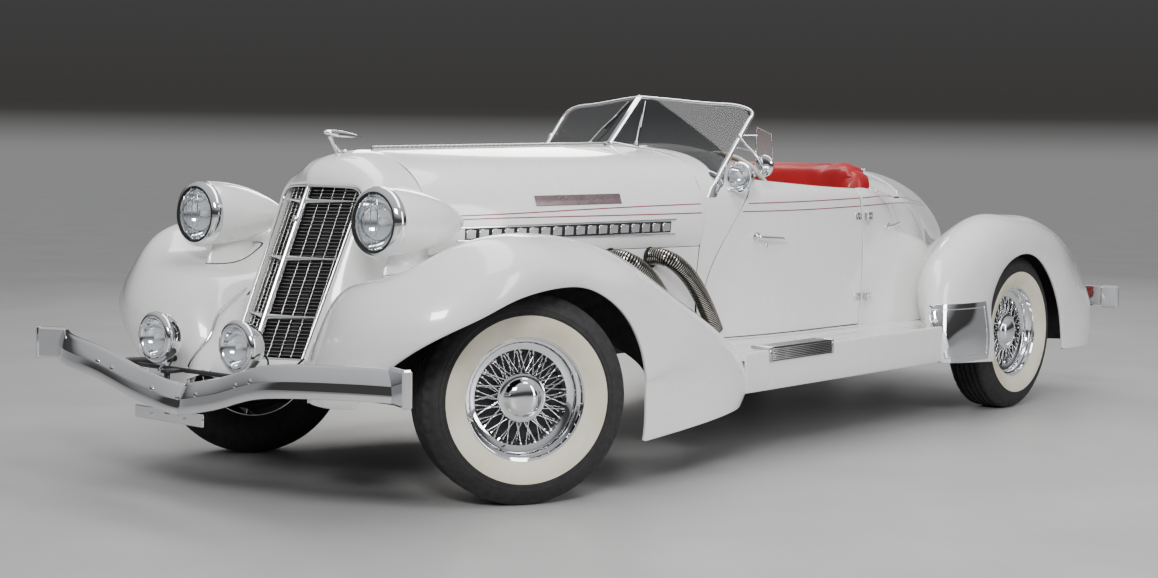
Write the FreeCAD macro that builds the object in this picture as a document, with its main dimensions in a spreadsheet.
# Boat-tail roadster: body, chassis, running gear, doors and lids.
# Millimetres. +Z up, ground at Z = 0, the front of the car towards -Y, its left side at +X.
# Every shape is written about mid-wheelbase; each Placement then moves it by origin_shift,
# so that the frame's origin is the middle of the car's footprint.
import FreeCAD, Part
import math, os
from FreeCAD import Vector as V

doc = FreeCAD.newDocument("roadster")

# ---------------------------------------------------------------- driving dimensions
SIZES = [  # alias, value (mm or degrees)
    ("origin_shift", 102), ("axle_front_y", -1594), ("axle_rear_y", 1613),
    ("tyre_radius", 352), ("tyre_width", 205), ("rim_radius", 190), ("rim_width", 150),
    ("track_rear_half", 790), ("kingpin_x", 667), ("kingpin_offset", 60), ("steer_rest", 30),
    ("hub_bore", 30.05), ("spindle_rad", 30), ("rail_x", 370), ("rail_width", 60),
    ("wall", 14), ("door_gap", 6),
    ("door_hinge_x", 634), ("door_hinge_y", 690), ("lid_hinge_y", 1434), ("lid_hinge_z", 1086), ("hood_front_y", -1618), ("hood_rear_y", -330),
    ("rail_rear_x", 295), ("core_half", 185), ("floor_half", 398), ("engine_width", 330), ("engine_length", 950),
    ("engine_height", 520), ("board_low", 270), ("board_top", 425), ("lamp_x", 459),
    ("lamp_y", -2020), ("lamp_height", 929), ("lamp_rad", 112), ("fog_x", 211),
    ("fog_y", -2387), ("fog_height", 535), ("fog_rad", 82), ("hose_rad", 33),
    ("wheel_steer_rad", 200), ("seat_width", 1060), ("bumper_height", 102),
    ("tank_length", 420), ("tank_width", 500), ("tank_height", 165),
]
sheet = doc.addObject("Spreadsheet::Sheet", "sizes")
for row, (alias, value) in enumerate(SIZES, start=1):
    sheet.set("A%d" % row, alias)
    sheet.set("B%d" % row, str(value))
    sheet.setAlias("B%d" % row, alias)
doc.recompute()
S = {alias: float(getattr(sheet, alias)) for alias, value in SIZES}
T = S["wall"]
AF, AR = S["axle_front_y"], S["axle_rear_y"]
NODES = []


def shift():
    return FreeCAD.Placement(V(0, -S["origin_shift"], 0), FreeCAD.Rotation())


def node(name, shape):
    """One sub-part from a shape made in code; its Placement comes after its Shape."""
    obj = doc.addObject("Part::Feature", name)
    obj.Label = name
    obj.Shape = shape if shape.Placement.isIdentity() else Part.makeCompound([shape])
    obj.Placement = shift()
    obj.setExpression(".Placement.Base.y", "-sizes.origin_shift")
    NODES.append(obj)
    return obj


def box(x0, x1, y0, y1, z0, z1):
    return Part.makeBox(x1 - x0, y1 - y0, z1 - z0, V(x0, y0, z0))


def cyl(r, p, d, length):
    return Part.makeCylinder(r, length, V(*p), V(*d))


def mirror(shape):
    return shape.mirror(V(0, 0, 0), V(1, 0, 0))


def both(shape):
    return Part.makeCompound([shape, mirror(shape)])


def fuse(*shapes):
    out = shapes[0].multiFuse(list(shapes[1:])) if len(shapes) > 1 else shapes[0]
    return out.removeSplitter() if len(shapes) > 1 else out


def revolve(points, p, d, up=None):
    """Revolve a closed outline of (radius, along) pairs about the axis p + along*d."""
    axis = V(*d).normalize()
    side = axis.cross(V(0, 0, 1))
    side = V(1, 0, 0) if side.Length < 1e-6 else side.normalize()
    base = V(*p)
    pts = [base + side * r + axis * a for r, a in points]
    face = Part.Face(Part.makePolygon(pts + [pts[0]]))
    return face.revolve(base, axis, 360)


def rod(points, r):
    """Straight runs of round bar with ball corners."""
    solids = []
    for a, b in zip(points, points[1:]):
        d = V(*b) - V(*a)
        solids.append(Part.makeCylinder(r, d.Length, V(*a), d))
    for q in points[1:-1]:
        solids.append(Part.makeSphere(r, V(*q)))
    return fuse(*solids)


def prism_x(outline, x0, x1):
    """An outline of (y, z) corners pushed along X."""
    pts = [V(x0, y, z) for y, z in outline]
    return Part.Face(Part.makePolygon(pts + [pts[0]])).extrude(V(x1 - x0, 0, 0))


def offset_in(pts, t):
    """Each point of a section moved t to the right of its travel, which is inwards."""
    out = []
    for i, (x, z) in enumerate(pts):
        a = pts[max(i - 1, 0)]
        b = pts[min(i + 1, len(pts) - 1)]
        dx, dz = b[0] - a[0], b[1] - a[1]
        n = math.hypot(dx, dz)
        out.append((x + dz / n * t, z - dx / n * t))
    return out


def ring(y, pts, t):
    """Closed wall section at station y: arcs through each three outer points, and back inside."""
    inner = offset_in(pts, t)
    P = [V(x, y, z) for x, z in pts]
    Q = [V(x, y, z) for x, z in inner]
    edges = []
    for i in range(0, len(P) - 2, 2):
        edges.append(arc3(P[i], P[i + 1], P[i + 2]))
    edges.append(Part.LineSegment(P[-1], Q[-1]).toShape())
    for i in range(len(Q) - 1, 1, -2):
        edges.append(arc3(Q[i], Q[i - 1], Q[i - 2]))
    edges.append(Part.LineSegment(Q[0], P[0]).toShape())
    return Part.Wire(edges)


def arc3(a, b, c):
    """Arc through three points, or a line where they are nearly in line."""
    if (b - a).cross(c - a).Length < 0.004 * (c - a).Length ** 2:
        return Part.LineSegment(a, c).toShape()
    return Part.Arc(a, b, c).toShape()


def shell(stations, t):
    """A wall through stations (y, [(x, z), ...]) with straight rulings between them."""
    return Part.makeLoft([ring(y, pts, t) for y, pts in stations], True, True)


def fan_wire(row, t, filled=False):
    """Section of a fender in its leaning plane, as a wall t thick or filled down to its chord."""
    y, z, lean, pts = row
    s, c = math.sin(math.radians(lean)), math.cos(math.radians(lean))

    def at(q):
        return V(q[0], y - q[1] * s, z + q[1] * c)
    P = [at(q) for q in pts]
    edges = [arc3(P[i], P[i + 1], P[i + 2]) for i in range(0, len(P) - 2, 2)]
    if filled:
        return Part.Wire(edges + [Part.LineSegment(P[-1], P[0]).toShape()])
    Q = [at(q) for q in offset_in(pts, t)]
    edges.append(Part.LineSegment(P[-1], Q[-1]).toShape())
    edges += [arc3(Q[i], Q[i - 1], Q[i - 2]) for i in range(len(Q) - 1, 1, -2)]
    edges.append(Part.LineSegment(Q[0], P[0]).toShape())
    return Part.Wire(edges)


def fan(rows, t, filled=False):
    """A fender through its leaning sections."""
    return Part.makeLoft([fan_wire(row, t, filled) for row in rows], True, True)


def clean(shape):
    s = shape.Solids
    s.sort(key=lambda q: -q.Volume)
    return s[0]


# ---------------------------------------------------------------- section tables (left side)
# hood lid: station y, then (x, z) from the centre hinge over the shoulder to the low edge
HOOD = [
    (-1618, [(12, 1163), (120, 1127), (215, 1070), (272, 985), (277, 800)]),
    (-1250, [(12, 1171), (160, 1142), (285, 1083), (352, 985), (356, 800)]),
    (-800, [(12, 1180), (200, 1158), (360, 1098), (436, 988), (432, 800)]),
    (-330, [(12, 1190), (230, 1172), (428, 1110), (507, 990), (497, 800)]),
]
# fixed panel under the lid, from the lid's low edge down to the frame
SIDE = [
    (-1618, [(277, 794), (277, 640), (268, 512)]),
    (-1250, [(356, 794), (352, 640), (345, 512)]),
    (-800, [(432, 794), (425, 640), (418, 512)]),
    (-330, [(497, 794), (482, 640), (480, 512)]),
]
# cowl, whole section from the centreline down to the sill
COWL = [
    (-324, [(0, 1190), (230, 1172), (420, 1113), (498, 1015), (507, 970), (500, 800), (484, 640), (488, 540), (505, 430)]),
    (-150, [(0, 1196), (240, 1178), (446, 1106), (528, 1010), (537, 968), (533, 800), (523, 640), (528, 540), (543, 430)]),
    (0, [(0, 1200), (250, 1180), (470, 1098), (555, 1000), (563, 960), (563, 800), (560, 640), (562, 540), (568, 430)]),
]
# body side beside the seat: rim, belt, bulge, sill
DOORSIDE = [
    (-324, [(478, 1052), (498, 1015), (507, 970), (500, 800), (484, 640), (488, 540), (505, 430)]),
    (-150, [(508, 1040), (528, 1010), (537, 968), (533, 800), (523, 640), (528, 540), (543, 430)]),
    (0, [(533, 1030), (555, 1000), (563, 960), (563, 800), (560, 640), (562, 540), (568, 430)]),
    (340, [(566, 1018), (588, 992), (596, 950), (602, 800), (600, 640), (596, 540), (590, 430)]),
    (680, [(576, 1012), (598, 986), (606, 945), (616, 800), (616, 640), (611, 540), (601, 430)]),
    (850, [(570, 1011), (592, 985), (601, 943), (612, 800), (616, 640), (619, 540), (622, 430)]),
    (1000, [(560, 1010), (584, 984), (594, 940), (606, 800), (622, 640), (645, 540), (668, 430)]),
]
# boat tail, whole section behind the seat
TAIL = [
    (1000, [(0, 1092), (230, 1080), (420, 1035), (552, 950), (606, 800), (622, 640), (668, 430)]),
    (1300, [(0, 1094), (200, 1075), (369, 1020), (489, 918), (550, 789), (590, 620), (610, 440)]),
    (1613, [(0, 1087), (148, 1056), (268, 986), (358, 887), (409, 768), (424, 620), (400, 441)]),
    (1900, [(0, 1046), (98, 1015), (181, 935), (242, 846), (283, 733), (294, 590), (280, 436)]),
    (2150, [(0, 981), (59, 943), (113, 863), (159, 776), (186, 668), (193, 555), (185, 431)]),
    (2350, [(0, 869), (30, 838), (60, 783), (86, 700), (102, 608), (107, 520), (100, 431)]),
    (2475, [(0, 740), (10, 718), (19, 682), (28, 635), (34, 577), (38, 510), (37, 431)]),
]
# fenders: hub y, hub z, lean in degrees (forwards is plus), then (x, distance from the hub) from the
# inner foot over the crown to the edge of the wheel opening
FRONT_FENDER = [
    (-1750, 480, 108, [(304, 439), (337, 448), (373, 454), (407, 457), (440, 455), (481, 447), (520, 437)]),
    (-1750, 480, 92, [(263, 373), (301, 416), (369, 449), (457, 467), (541, 466), (608, 442), (635, 401)]),
    (-1750, 480, 75, [(262, 302), (301, 385), (378, 442), (482, 478), (600, 480), (711, 436), (799, 365)]),
    (-1750, 480, 55, [(281, 263), (334, 367), (423, 429), (549, 455), (662, 454), (779, 406), (871, 277)]),
    (-1750, 480, 30, [(283, 246), (357, 295), (462, 325), (593, 359), (722, 430), (831, 382), (897, 236)]),
    (-1700, 400, 8, [(276, 296), (388, 385), (510, 436), (637, 465), (761, 499), (859, 457), (901, 315)]),
    (-1600, 352, 0, [(276, 318), (403, 436), (524, 496), (647, 532), (757, 537), (858, 489), (905, 372)]),
    (-1560, 352, -12, [(300, 328), (431, 440), (545, 499), (653, 533), (755, 534), (850, 480), (907, 369)]),
    (-1500, 300, -28, [(341, 420), (441, 525), (547, 586), (651, 610), (749, 597), (847, 546), (908, 381)]),
    (-1500, 300, -45, [(362, 470), (481, 595), (574, 656), (662, 671), (745, 647), (840, 591), (906, 368)]),
    (-1500, 300, -62, [(386, 580), (521, 713), (602, 778), (673, 788), (742, 750), (839, 686), (907, 353)]),
    (-1500, 300, -76, [(425, 690), (576, 846), (644, 918), (705, 941), (772, 909), (857, 821), (906, 343)]),
    (-1500, 300, -90, [(520, 820), (621, 955), (689, 1019), (762, 1029), (842, 1016), (889, 916), (903, 336)]),
    (-1500, 225, -88, [(540, 812), (630, 940), (701, 1005), (772, 1023), (839, 998), (890, 899), (905, 332)]),
    (-1500, 145, -85, [(598, 807), (648, 910), (711, 977), (778, 999), (840, 977), (892, 874), (904, 324)]),
]
REAR_FENDER = [
    (1650, 230, 87, [(677, 465), (742, 583), (802, 672), (852, 729), (896, 722), (925, 600), (931, 352)]),
    (1650, 300, 80, [(640, 497), (699, 594), (763, 688), (826, 766), (877, 747), (916, 641), (924, 347)]),
    (1650, 300, 65, [(616, 541), (672, 645), (747, 735), (814, 764), (874, 709), (912, 592), (910, 380)]),
    (1650, 300, 45, [(576, 545), (668, 622), (744, 685), (809, 697), (870, 655), (910, 564), (909, 412)]),
    (1650, 300, 22, [(472, 455), (612, 556), (729, 624), (797, 636), (863, 611), (909, 540), (915, 423)]),
    (1650, 300, 0, [(392, 425), (545, 516), (668, 570), (756, 587), (845, 570), (904, 505), (920, 413)]),
    (1650, 300, -22, [(320, 430), (480, 546), (620, 603), (742, 622), (838, 591), (900, 511), (916, 392)]),
    (1650, 300, -45, [(258, 450), (430, 606), (589, 695), (708, 719), (815, 682), (891, 587), (911, 379)]),
    (1650, 300, -65, [(200, 500), (430, 715), (639, 850), (739, 860), (824, 779), (891, 632), (910, 377)]),
    (1650, 300, -85, [(420, 590), (560, 760), (669, 850), (743, 864), (834, 831), (894, 724), (905, 392)]),
    (1650, 245, -90, [(440, 590), (575, 745), (675, 825), (752, 844), (835, 803), (898, 690), (906, 402)]),
]
# outline of the door in (y, z)
DOOR = [(-4, 1100), (-30, 1040), (-125, 920), (-222, 772), (-283, 602), (-288, 500), (-274, 434), (682, 434), (686, 1100)]


def grown(outline, g):
    """The outline pushed outwards by g about each corner."""
    out, n = [], len(outline)
    area = sum(outline[i][0] * outline[(i + 1) % n][1] - outline[(i + 1) % n][0] * outline[i][1] for i in range(n))
    s = 1.0 if area > 0 else -1.0
    for i in range(n):
        a, b, c = outline[i - 1], outline[i], outline[(i + 1) % n]
        u = (b[0] - a[0], b[1] - a[1]); w = (c[0] - b[0], c[1] - b[1])
        lu, lw = math.hypot(*u), math.hypot(*w)
        n1 = (u[1] / lu * s, -u[0] / lu * s); n2 = (w[1] / lw * s, -w[0] / lw * s)
        k = 1.0 + n1[0] * n2[0] + n1[1] * n2[1]
        out.append((b[0] + g * (n1[0] + n2[0]) / k, b[1] + g * (n1[1] + n2[1]) / k))
    return out


def mirrored_stations(stations):
    """The same stations for the right side."""
    return [(y, [(-x, z) for x, z in reversed(pts)]) for y, pts in stations]


SHAPES = {}          # sub-part name -> shape, before the places where one piece is let into another


def put(name, shape):
    SHAPES[name] = shape


def sheet_box(name, length, width, height, x, y, z):
    """A plain block as a bound box: each size and corner is a name in the sheet or a formula of such names."""
    obj = doc.addObject("Part::Box", name)
    obj.Label = name
    for prop, formula in (("Length", length), ("Width", width), ("Height", height), (".Placement.Base.x", x),
                          (".Placement.Base.y", "%s - sizes.origin_shift" % y), (".Placement.Base.z", z)):
        obj.setExpression(prop, formula)
    NODES.append(obj)
    return obj


# ---------------------------------------------------------------- chassis
rails = []
w = S["rail_width"] / 2
for sx in (-1, 1):
    x = sx * S["rail_x"]
    front_view = [(-2160, 400), (-1150, 395), (1100, 395), (1100, 505), (-1150, 505), (-2160, 480)]
    rails.append(prism_x(front_view, x - w, x + w))
    xr = sx * S["rail_rear_x"]
    rear_view = [(1040, 395), (1100, 395), (1340, 505), (1760, 505), (1960, 330), (2380, 330), (2380, 415),
                 (1990, 415), (1790, 600), (1310, 600), (1040, 505)]
    rails.append(prism_x(rear_view, xr - 25, xr + 25))
    rails.append(box(min(x, xr) - 25, max(x, xr) + 25, 1040, 1100, 405, 495))
cross = [box(-345, 345, -2040, -1980, 375, 455), box(-345, 345, 450, 510, 425, 505),
         box(-345, 345, 1040, 1100, 425, 495), box(-280, 280, 2290, 2350, 335, 410)]
mounts = [box(-345, -92, -430, -370, 400, 480), box(92, 345, -430, -370, 400, 480)]
put("chassis_frame", fuse(*(rails + cross + mounts)))

zc = S["tyre_radius"]
kx, ko, steer = S["kingpin_x"], S["kingpin_offset"], math.radians(S["steer_rest"])
ears = []
for sx in (-1, 1):
    for z0 in (zc - 90, zc + 62):
        ear = cyl(20, (sx * kx, AF, z0), (0, 0, 1), 28)
        arm = box(min(sx * kx, sx * (kx - 75)), max(sx * kx, sx * (kx - 75)), AF - 16, AF + 16, z0, z0 + 28)
        ears.append(fuse(ear, arm).cut(cyl(14.05, (sx * kx, AF, z0 - 1), (0, 0, 1), 30)))
    ears.append(box(min(sx * (kx - 75), sx * (kx - 45)), max(sx * (kx - 75), sx * (kx - 45)), AF - 16, AF + 16,
                    zc - 90, zc + 90))
beam = fuse(box(-520, 520, AF - 26, AF + 26, 262, 316),
            box(-622, -500, AF - 20, AF + 20, 262, 330), box(500, 622, AF - 20, AF + 20, 262, 330))
put("front_axle", fuse(beam, *ears))

# (radius, distance along the axle): ends, tubes, back plates and the bulge of the final drive
AXLE = [(0, -826), (S["spindle_rad"], -826), (S["spindle_rad"], -728), (165, -728), (165, -722), (40, -722), (40, -165),
        (110, -110), (148, -45), (148, 45), (110, 110), (40, 165), (40, 722), (165, 722), (165, 728),
        (S["spindle_rad"], 728), (S["spindle_rad"], 826), (0, 826)]
put("rear_axle", fuse(revolve(AXLE, (0, AR, zc), (1, 0, 0)), cyl(60, (0, AR - 260, zc), (0, 1, 0), 180)))

springs = []
for y0, y1, x, z_mid, z_end in ((-2130, -1060, S["rail_x"], 322, 372), (1110, 2150, S["rail_rear_x"] + 60, 288, 330)):
    ym = (y0 + y1) / 2
    for sx in (-1, 1):
        outer = [V(sx * x - 25, y, z) for y, z in ((y0, z_end), (ym, z_mid), (y1, z_end))]
        inner = [q + V(0, 0, 20) for q in outer]
        wire = Part.Wire([Part.Arc(*outer).toShape(), Part.LineSegment(outer[2], inner[2]).toShape(),
                          Part.Arc(inner[2], inner[1], inner[0]).toShape(),
                          Part.LineSegment(inner[0], outer[0]).toShape()])
        springs.append(Part.Face(wire).extrude(V(50, 0, 0)))
put("leaf_springs", Part.makeCompound(springs))

# ---------------------------------------------------------------- engine and driveline
sheet_box("engine_block", "sizes.engine_width", "sizes.engine_length", "sizes.engine_height",
          "-sizes.engine_width / 2", "-1480", "430")
sheet_box("fuel_tank", "sizes.tank_width", "sizes.tank_length", "sizes.tank_height",
          "-sizes.tank_width / 2", "1850", "245")
sheet_box("radiator", "2 * sizes.core_half", "80", "530", "-sizes.core_half", "-1820", "480")
sheet_box("floor_pan", "2 * sizes.floor_half", "1290", "12", "-sizes.floor_half", "-300", "506")
sheet_box("seat_cushion", "sizes.seat_width", "470", "170", "-sizes.seat_width / 2", "340", "520")

put("drive_shaft", fuse(box(-110, 110, -528, -440, 380, 560), box(-85, 85, -440, -100, 340, 500),
                        cyl(38, (0, -100, 400), (0, 1352, -48), 1310).common(box(-200, 200, -110, 1345, 200, 500))))
put("exhaust_system", fuse(rod([(-230, -360, 330), (-230, 1200, 330)], 26), cyl(75, (-230, 300, 330), (0, 1, 0), 560),
    rod([(-230, 1200, 330), (-200, 1290, 205), (-200, 1840, 205), (-250, 2440, 215)], 26)))

# ---------------------------------------------------------------- nose
# shell plan at each height: height, centre y, corner x, corner y, side x
NOSE = [(462, -2178, 214, -2092, 275), (760, -2048, 224, -1962, 277), (985, -1952, 232, -1868, 272),
        (1070, -1915, 190, -1830, 215), (1127, -1860, 105, -1790, 120), (1160, -1740, 25, -1700, 30)]


def plan(z, yc, xf, yf, xr, inset=0.0):
    i = inset
    return Part.makePolygon([V(-xr + i, -1622, z), V(-xf + i, yf + i, z), V(0, yc + i, z), V(xf - i, yf + i, z),
                             V(xr - i, -1622, z), V(-xr + i, -1622, z)])


outer = Part.makeLoft([plan(*q) for q in NOSE], True, True)
inner = Part.makeLoft([plan(z - (0 if z < 1000 else 16), yc, xf, yf, xr, 16) for z, yc, xf, yf, xr in NOSE[:-1]],
                      True, True)
inner = inner.fuse(Part.makeLoft([plan(440, -2188, 214, -2100, 275, 16), plan(*NOSE[0], inset=16)], True, True))
mouth = Part.Face(Part.makePolygon([V(-195, -2300, 1037), V(195, -2300, 1037), V(178, -2300, 469), V(-178, -2300, 469),
                                    V(-195, -2300, 1037)])).extrude(V(0, 500, 0))
put("grille_shell", clean(outer.cut(inner).cut(mouth).cut(box(-262, 262, -1640, -1600, 440, 975))))
# the bars' plane leans back and is a V in plan: top middle, top corner, low corner, low middle
slabs = []
for sx in (-1, 1):
    tm, tc, lc = V(0, -1907, 1034), V(sx * 192, -1826, 1027), V(sx * 175, -2080, 472)
    lm = tm + (lc - tc)
    lm.x = 0
    slabs += [Part.Face(Part.makePolygon([tm, tc, lc, tm])).extrude(V(0, 10, 0)),
              Part.Face(Part.makePolygon([tm, lc, lm, tm])).extrude(V(0, 10, 0))]
put("grille", clean(fuse(*slabs)))


def apron_line(z, yc, xm, ym, xe, ye, d):
    return [V(-xe, ye + d, z), V(-xm, ym + d, z), V(0, yc + d, z), V(xm, ym + d, z), V(xe, ye + d, z)]


apron = []
for z, yc, xm, ym, xe, ye in ((455, -2182, 214, -2098, 262, -2068), (350, -2245, 214, -2195, 296, -2150)):
    pts = apron_line(z, yc, xm, ym, xe, ye, 0) + apron_line(z, yc, xm, ym, xe, ye, 14)[::-1]
    apron.append(Part.makePolygon(pts + [pts[0]]))
put("front_apron", Part.makeLoft(apron, True, True))
dart = fuse(cyl(7, (0, -1840, 1222), (0, 1, -0.08), 160), box(-45, 45, -1770, -1705, 1209, 1215))
put("hood_ornament", fuse(rod([(0, -1745, 1150), (0, -1800, 1216)], 6), dart))

# ---------------------------------------------------------------- engine cover
HOSES = [(-800, 762), (-590, 762)]           # where the pairs of flexible pipes leave the side: y, z
for side, sx in (("left", 1), ("right", -1)):
    lid = shell(HOOD if sx > 0 else mirrored_stations(HOOD), T)
    for y, z in HOSES:
        lid = lid.cut(cyl(S["hose_rad"] + 14, (sx * 200, y, z), (sx, 0, 0), 600))
    put("hood_" + side, clean(lid))
put("hood_hinge", Part.makeCylinder(6, 1272, V(0, -1611, 1166.1), V(0, 1288, 27)))
put("engine_side_panels", Part.makeCompound([shell(SIDE, T), shell(mirrored_stations(SIDE), T)]))
hoses = []
for y, z in HOSES:
    x = {-800: 432, -590: 458}[y]
    path = [(x + 2, y, z), (x + 78, y + 10, z + 14), (x + 112, y + 110, z - 70), (x + 128, y + 250, z - 290)]
    hoses.append(rod(path, S["hose_rad"]))
fender_block = fan(FRONT_FENDER, T, True)
panel_block = shell(SIDE, T)
hoses = [clean(h.cut(fender_block).cut(panel_block)) for h in hoses]
put("exhaust_hoses", Part.makeCompound(hoses + [mirror(h) for h in hoses]))

# ---------------------------------------------------------------- body
door_in = prism_x(DOOR, 300, 900)
door_out = prism_x(grown(DOOR, S["door_gap"]), 250, 900)
cowl_l = clean(shell(COWL, T).common(box(-1, 900, -324, 0, 300, 1300)).cut(door_out))
cowl = fuse(cowl_l, mirror(cowl_l)).cut(box(-455, 455, -60, 10, 1040, 1300))
firewall = Part.makeLoft([Part.makePolygon([V(x, y, z) for x, z in
                          [(-440, 520), (-475, 640), (-490, 800), (-497, 970), (-485, 1010), (-415, 1102), (-225, 1160),
                           (0, 1178), (225, 1160), (415, 1102), (485, 1010), (497, 970), (490, 800), (475, 640),
                           (440, 520), (-440, 520)]]) for y in (-322, -312)], True, True)
put("cowl", fuse(cowl, firewall))
door_l = clean(shell(DOORSIDE, 40).common(door_in))
leaves = [box(604, 626, 640, 679, z0, z0 + 30) for z0 in (537, 885)]
door_l = fuse(door_l, *leaves)
for side, sx in (("left", 1), ("right", -1)):
    put("door_" + side, door_l if sx > 0 else mirror(door_l))
pins = []
for z0 in (535, 883):
    barrel = cyl(8, (S["door_hinge_x"], S["door_hinge_y"], z0), (0, 0, 1), 34)
    plate = box(606, 626, 702, 744, z0 + 2, z0 + 32)
    pins.append(fuse(barrel, plate, box(618, 634, 694, 706, z0 + 2, z0 + 32)))
inner_sill = [(470, -300), (548, -140), (574, 60), (596, 340), (606, 700), (668, 1000), (400, 1000), (400, -300)]
outer_sill = [(505, -320), (545, -150), (570, 0), (592, 340), (603, 700), (622, 850), (640, 850), (640, 340), (636, 0),
              (600, -150), (560, -320)]


def floor_plate(outline, z0, z1):
    pts = [V(x, y, z0) for x, y in outline]
    return Part.Face(Part.makePolygon(pts + [pts[0]])).extrude(V(0, 0, z1 - z0))


sill = fuse(floor_plate(inner_sill, 406, 424), floor_plate(outer_sill, 394, 424))
put("body_sills", both(clean(sill)))
quarter = clean(shell(DOORSIDE, T).common(box(300, 900, 692, 1000, 428, 1100)))
tail_l = clean(shell(TAIL, T).common(box(0, 900, 1000, 2500, 300, 1300)))
bulkhead = box(-572, 572, 1000, 1012, 520, 1000)
tail = fuse(quarter, tail_l, mirror(quarter), mirror(tail_l), bulkhead)
LID = [(0, 1022), (470, 1022), (482, 1160), (462, 1240), (420, 1300), (310, 1372), (210, 1405), (110, 1417), (0, 1419)]
lid_gap = grown(LID + [(-x, y) for x, y in LID[-2:0:-1]], S["door_gap"] + 1)
tail = tail.cut(floor_plate(lid_gap, 860, 1300))
lid_hinges = [fuse(cyl(8, (x, S["lid_hinge_y"], S["lid_hinge_z"]), (1, 0, 0), 40),
                   box(x, x + 40, S["lid_hinge_y"], S["lid_hinge_y"] + 26, 1058, 1090)) for x in (-170, 130)]
put("tail_body", clean(fuse(tail, box(-36, 36, 2463, 2475, 432, 700), *lid_hinges)))
lid_plan = floor_plate(LID + [(-x, y) for x, y in LID[-2:0:-1]], 860, 1300)
top_lid = clean(fuse(tail_l, mirror(tail_l)).common(lid_plan))
lid_leaves = [box(x, x + 40, 1350, 1405, 1068, 1084) for x in (-170, 130)]
put("top_well_lid", clean(fuse(top_lid, *lid_leaves)))
put("door_hinges", Part.makeCompound([p.cut(quarter) for p in pins] + [mirror(p.cut(quarter)) for p in pins]))

# ---------------------------------------------------------------- fenders and boards
ff = clean(fan(FRONT_FENDER, T))
ff = clean(ff.cut(rod([(362, -2440, 440), (362, -2340, 440), (370, -2150, 440)], 25)))
rf = clean(fan(REAR_FENDER, T))
rear_block = fan(REAR_FENDER, T, True)
rf = clean(clean(rf.cut(shell(TAIL, T))).cut(shell(DOORSIDE, T)))
for side, sx in (("left", 1), ("right", -1)):
    put("front_fender_" + side, ff if sx > 0 else mirror(ff))
    put("rear_fender_" + side, rf if sx > 0 else mirror(rf))
guard_rows = [(y, z, a, [(p, r + 4) for p, r in pts[2:]]) for y, z, a, pts in REAR_FENDER[:4]]
guard = clean(fan(guard_rows, 4).common(prism_x([(700, 545), (1330, 520), (1320, 300), (1290, 262), (800, 262)], 700, 1000)))
put("gravel_guards", both(clean(guard.cut(rf))))
board = fuse(box(642, 880, -560, 960, 392, 414), box(866, 884, -600, 900, S["board_low"], S["board_top"]))
board = clean(board.cut(fender_block).cut(rear_block))
put("running_boards", both(board))
pad = fuse(box(798, 893, -400, 30, 425.5, 433), box(884.5, 893, -400, 30, 378, 433))
put("step_pads", both(pad))

# ---------------------------------------------------------------- lamps
lx, ly, lz, lr = S["lamp_x"], S["lamp_y"], S["lamp_height"], S["lamp_rad"]
pod = revolve([(0, -24), (lr * 0.86, -18), (lr, 0), (lr, 22), (lr * 0.95, 110), (lr * 0.72, 240), (lr * 0.36, 350),
               (0, 400)], (lx, ly, lz), (0, 1, -0.02))
foot = Part.makeLoft([Part.makePolygon([V(lx - 38, ly + 70, z), V(lx + 24, ly + 50, z), V(lx + 38, ly + 190, z),
                                        V(lx - 20, ly + 260, z), V(lx - 38, ly + 70, z)]) for z in (700, 850)], True)
lamp = clean(fuse(pod, foot).cut(fender_block))
put("headlamps", both(lamp))
fx, fy, fz, fr = S["fog_x"], S["fog_y"], S["fog_height"], S["fog_rad"]
fog = revolve([(0, -20), (fr * 0.88, -14), (fr, 0), (fr, 30), (fr * 0.8, 62), (fr * 0.4, 84), (0, 90)],
              (fx, fy, fz), (0, 1, 0))
fog = fuse(fog, cyl(9, (fx, fy + 30, fz - 112), (0, 0, 1), 60))
put("fog_lamps", both(fog))
spot = revolve([(0, -18), (52, -12), (60, 0), (58, 24), (38, 52), (0, 62)], (0, 0, 0), (0, 1, 0))
spot.Placement = FreeCAD.Placement(V(565, -150, 1066), FreeCAD.Rotation())
spot = fuse(Part.makeCompound([spot]), rod([(565, -110, 1060), (530, -165, 1020), (505, -180, 1010)], 8))
put("spot_lamps", both(clean(spot)))
put("mirrors", both(clean(fuse(cyl(44, (600, -52, 1112), (0, 1, 0), 14), rod([(600, -45, 1112), (508, -75, 1222)], 6)))))

# ---------------------------------------------------------------- bumpers
def blade(pts, h, thick):
    """A strip standing on edge, mitred at its corners: points are (x, y, z of its top edge), from x = 0 outwards."""
    sections = []
    for i, (x, y, z) in enumerate(pts):
        a = pts[i - 1] if i else (-pts[1][0], pts[1][1])
        b = pts[i + 1] if i < len(pts) - 1 else (2 * x - pts[i - 1][0], 2 * y - pts[i - 1][1])
        u = V(x - a[0], y - a[1], 0).normalize()
        v = V(b[0] - x, b[1] - y, 0).normalize()
        n = (V(-u.y, u.x, 0) + V(-v.y, v.x, 0)).normalize()
        n = n * (thick / max(0.5, n.dot(V(-u.y, u.x, 0))))
        top, low = V(x, y, z), V(x, y, z - h)
        sections.append(Part.makePolygon([top, low, low + n, top + n, top]))
    return Part.makeLoft(sections, True, True)


def plate_holes(shape, x0, y, z):
    for x in (-88.9, 88.9):
        shape = shape.cut(cyl(3.5, (x0 + x, y, z), (0, 1, 0), 60))
    return shape


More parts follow.
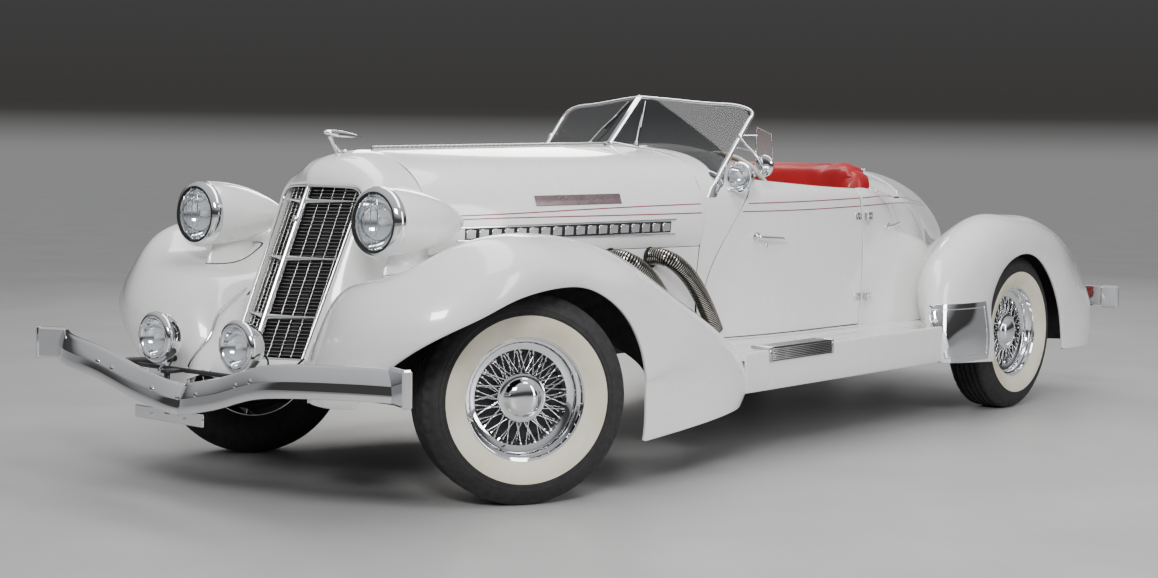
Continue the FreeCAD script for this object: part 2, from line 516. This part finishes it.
hb = S["bumper_height"]
half = blade([(0, -2415, 404), (50, -2452, 412), (220, -2459, 446), (400, -2468, 494), (520, -2472, 515),
              (690, -2405, 520), (846, -2302, 513), (955, -2345, 516)], hb, 12)
irons = rod([(362, -2440, 440), (362, -2340, 440), (370, -2150, 440)], 20).common(box(300, 420, -2480, -2160, 380, 500))
bar = box(-380, 380, -2375, -2345, 425, 440)
tongue = fuse(box(-145, -105, -2405, -2345, 300, 440), box(-306, 56, -2405, -2397, 262, 304))
back = fuse(half, mirror(half))
put("front_bumper", plate_holes(fuse(back, irons, mirror(irons), bar, tongue), -125, -2420, 280))
rhalf = blade([(0, 2656, 470), (420, 2633, 500), (845, 2592, 512), (952, 2572, 512)], hb, 12)
riron = fuse(box(279, 311, 2382, 2440, 370, 412), box(279, 311, 2420, 2650, 385, 440))
rplate = fuse(box(-112, 112, 2668, 2676, 300, 345), box(-20, 20, 2662, 2676, 330, 420))
put("rear_bumper", plate_holes(fuse(rhalf, mirror(rhalf), riron, mirror(riron), rplate), 0, 2640, 320))
tail_lamp = revolve([(0, 0), (30, -4), (44, -22), (40, -80), (30, -140), (0, -150)], (738, 2548, 470), (0, 1, 0))
put("tail_lamps", both(clean(tail_lamp.cut(rear_block))))

# ---------------------------------------------------------------- screen
# corners of the left pane: low middle, top middle, top outer, low outer
WS = [V(0, -285, 1200), V(0, -92, 1390), V(500, 18, 1328), V(500, -212, 1072)]
frame_l = rod([tuple(q) for q in WS] + [tuple(WS[0])], 9).common(box(0, 700, -500, 200, 1000, 1500))
put("windscreen_frame", fuse(frame_l, mirror(frame_l)))
glass = []
mid = (WS[0] + WS[1] + WS[2] + WS[3]) * 0.25
q = [mid + (v - mid) * 0.93 for v in WS]
n = (q[1] - q[0]).cross(q[2] - q[0]).normalize() * 5
pane = fuse(Part.Face(Part.makePolygon([q[0], q[1], q[2], q[0]])).extrude(n),
            Part.Face(Part.makePolygon([q[0], q[2], q[3], q[0]])).extrude(n))
put("windscreen_glass", both(pane))
wing = Part.Face(Part.makePolygon([V(548, 20, 1170), V(560, 120, 1165), V(552, 70, 1300), V(548, 20, 1170)])).extrude(V(5, 0, 0))
put("wind_wings", both(wing))

# ---------------------------------------------------------------- inside
put("seat_back", prism_x([(812, 700), (800, 1000), (830, 1130), (900, 1145), (960, 1100), (985, 700)], -530, 530))
put("dashboard", prism_x([(-60, 900), (-75, 1120), (-62, 1128), (-45, 1120), (-40, 900)], -440, 440))
sw_c, sw_d = V(290, 175, 985), V(0, 0.86, 0.51)
put("steering_column", clean(Part.makeCompound([Part.makeCylinder(22, 640, sw_c - sw_d * 680, sw_d)])))
ringw = Part.makeTorus(S["wheel_steer_rad"], 13, V(0, 0, 0), V(0, 0, 1))
hub_sw = fuse(ringw, cyl(35, (0, 0, -28), (0, 0, 1), 40), box(-190, 190, -14, 14, -8, 4), box(-14, 14, -190, 0, -8, 4))
hub_sw.Placement = FreeCAD.Placement(sw_c, FreeCAD.Rotation(V(0, 0, 1), sw_d))
put("steering_wheel", Part.makeCompound([hub_sw]))

# ---------------------------------------------------------------- wheels
RIM, RW, TR, TW = S["rim_radius"], S["rim_width"] / 2, S["tyre_radius"], S["tyre_width"] / 2
# (radius, distance along the axle from the wheel's middle, outwards)
TYRE_PROFILE = [(RIM + 2, -RW), (RIM + 15, -RW), (RIM + 60, -TW), (RIM + 110, -TW + 2), (TR - 18, -78), (TR, -60), (TR, 60),
                (TR - 18, 78), (RIM + 110, TW - 2), (RIM + 60, TW), (RIM + 15, RW), (RIM + 2, RW)]
# barrel, bead seats, cone in place of the spokes, hub and brake drum in one turned outline
WHEEL_PROFILE = [(S["hub_bore"], 38), (S["hub_bore"], -17), (160, -17), (160, 18), (150, 18), (150, -9), (84, -9),
                 (84, 26), (RIM - 26, 2), (RIM - 26, -30), (RIM - 8, -RW + 8), (RIM + 14, -RW - 3), (RIM + 14, -RW),
                 (RIM + 1.9, -RW), (RIM + 1.9, RW), (RIM + 14, RW), (RIM + 14, RW + 4), (RIM - 4, RW + 2),
                 (RIM - 18, 40), (RIM - 26, 14), (84, 38), (66, 50), (40, 62), (0, 66), (0, 52), (40, 46), (60, 38)]
wheels = [("front_left", 1, True), ("front_right", -1, True), ("rear_left", 1, False), ("rear_right", -1, False)]
for name, sx, front in wheels:
    if front:
        n = V(sx * math.cos(steer), -math.sin(steer) * sx, 0)     # outwards along the axle, both turned to the car's right
        c = V(sx * kx, AF, zc) + n * ko
    else:
        n = V(sx, 0, 0)
        c = V(sx * S["track_rear_half"], AR, zc)
    put("tyre_" + name, revolve(TYRE_PROFILE, tuple(c), tuple(n)))
    put("wheel_" + name, revolve(WHEEL_PROFILE, tuple(c), tuple(n)))
    if front:
        k = V(sx * kx, AF, zc)
        boss = cyl(19, (k.x, k.y, k.z - 57), (0, 0, 1), 114)
        pin = cyl(14, (k.x, k.y, k.z - 90), (0, 0, 1), 180)
        spindle = Part.makeCylinder(S["spindle_rad"], ko - 22 + 36, k + n * 22, n)
        stub = Part.makeCylinder(24, 26, k, n)
        back_plate = Part.makeCylinder(158, 5, k + n * (ko - 30), n)
        put("knuckle_" + name.split("_")[1], fuse(boss, pin, spindle, stub, back_plate))

# ---------------------------------------------------------------- pieces let into their neighbours
LET_IN = [  # the piece that gives way, then what it gives way to
    ("cowl", ["steering_column", "drive_shaft", "door_left", "door_right"]),
    ("dashboard", ["cowl", "steering_column"]),
    ("spot_lamps", ["cowl", "windscreen_frame"]),
    ("windscreen_frame", ["cowl"]),
    ("windscreen_glass", ["windscreen_frame", "cowl"]),
    ("mirrors", ["windscreen_frame", "spot_lamps"]),
    ("fog_lamps", ["front_bumper"]),
    ("front_apron", ["chassis_frame", "front_fender_left", "front_fender_right"]),
    ("front_fender_left", ["chassis_frame", "grille_shell", "engine_side_panels"]),
    ("front_fender_right", ["chassis_frame", "grille_shell", "engine_side_panels"]),
    ("headlamps", ["grille_shell"]),
    ("hood_ornament", ["grille_shell"]),
    ("body_sills", ["chassis_frame", "running_boards", "cowl", "rear_fender_left", "rear_fender_right"]),
    ("tail_body", ["chassis_frame", "rear_fender_left", "rear_fender_right", "seat_back"]),
    ("hood_hinge", ["cowl", "grille_shell"]),
    ("running_boards", ["gravel_guards"]),
]
for name, others in LET_IN:
    for other in others:
        if SHAPES[name].BoundBox.intersect(SHAPES[other].BoundBox):
            SHAPES[name] = SHAPES[name].cut(SHAPES[other])
    left = [s for s in SHAPES[name].Solids if s.Volume > (200000 if name.startswith("windscreen") else 2000)]
    SHAPES[name] = left[0] if len(left) == 1 else Part.makeCompound(left)
for name, shape in SHAPES.items():
    node(name, shape)

# ---------------------------------------------------------------- check and write
doc.recompute()
bad = [o.Name for o in doc.Objects if "Invalid" in o.State or "Error" in o.State]
for o in NODES:
    shp = o.Shape
    if shp.isNull() or not shp.isValid():
        bad.append(o.Name + " shape")
if bad:
    raise RuntimeError("failed: " + ", ".join(bad))
os.makedirs("parts", exist_ok=True)
for o in NODES:
    o.Shape.exportStep("parts/%s.step" % o.Label)
    b = o.Shape.BoundBox
    print("%-22s solids %d vol %8.3f l  x %6.0f %6.0f y %6.0f %6.0f z %6.0f %6.0f" % (
        o.Label, len(o.Shape.Solids), o.Shape.Volume / 1e6, b.XMin, b.XMax, b.YMin, b.YMax, b.ZMin, b.ZMax))
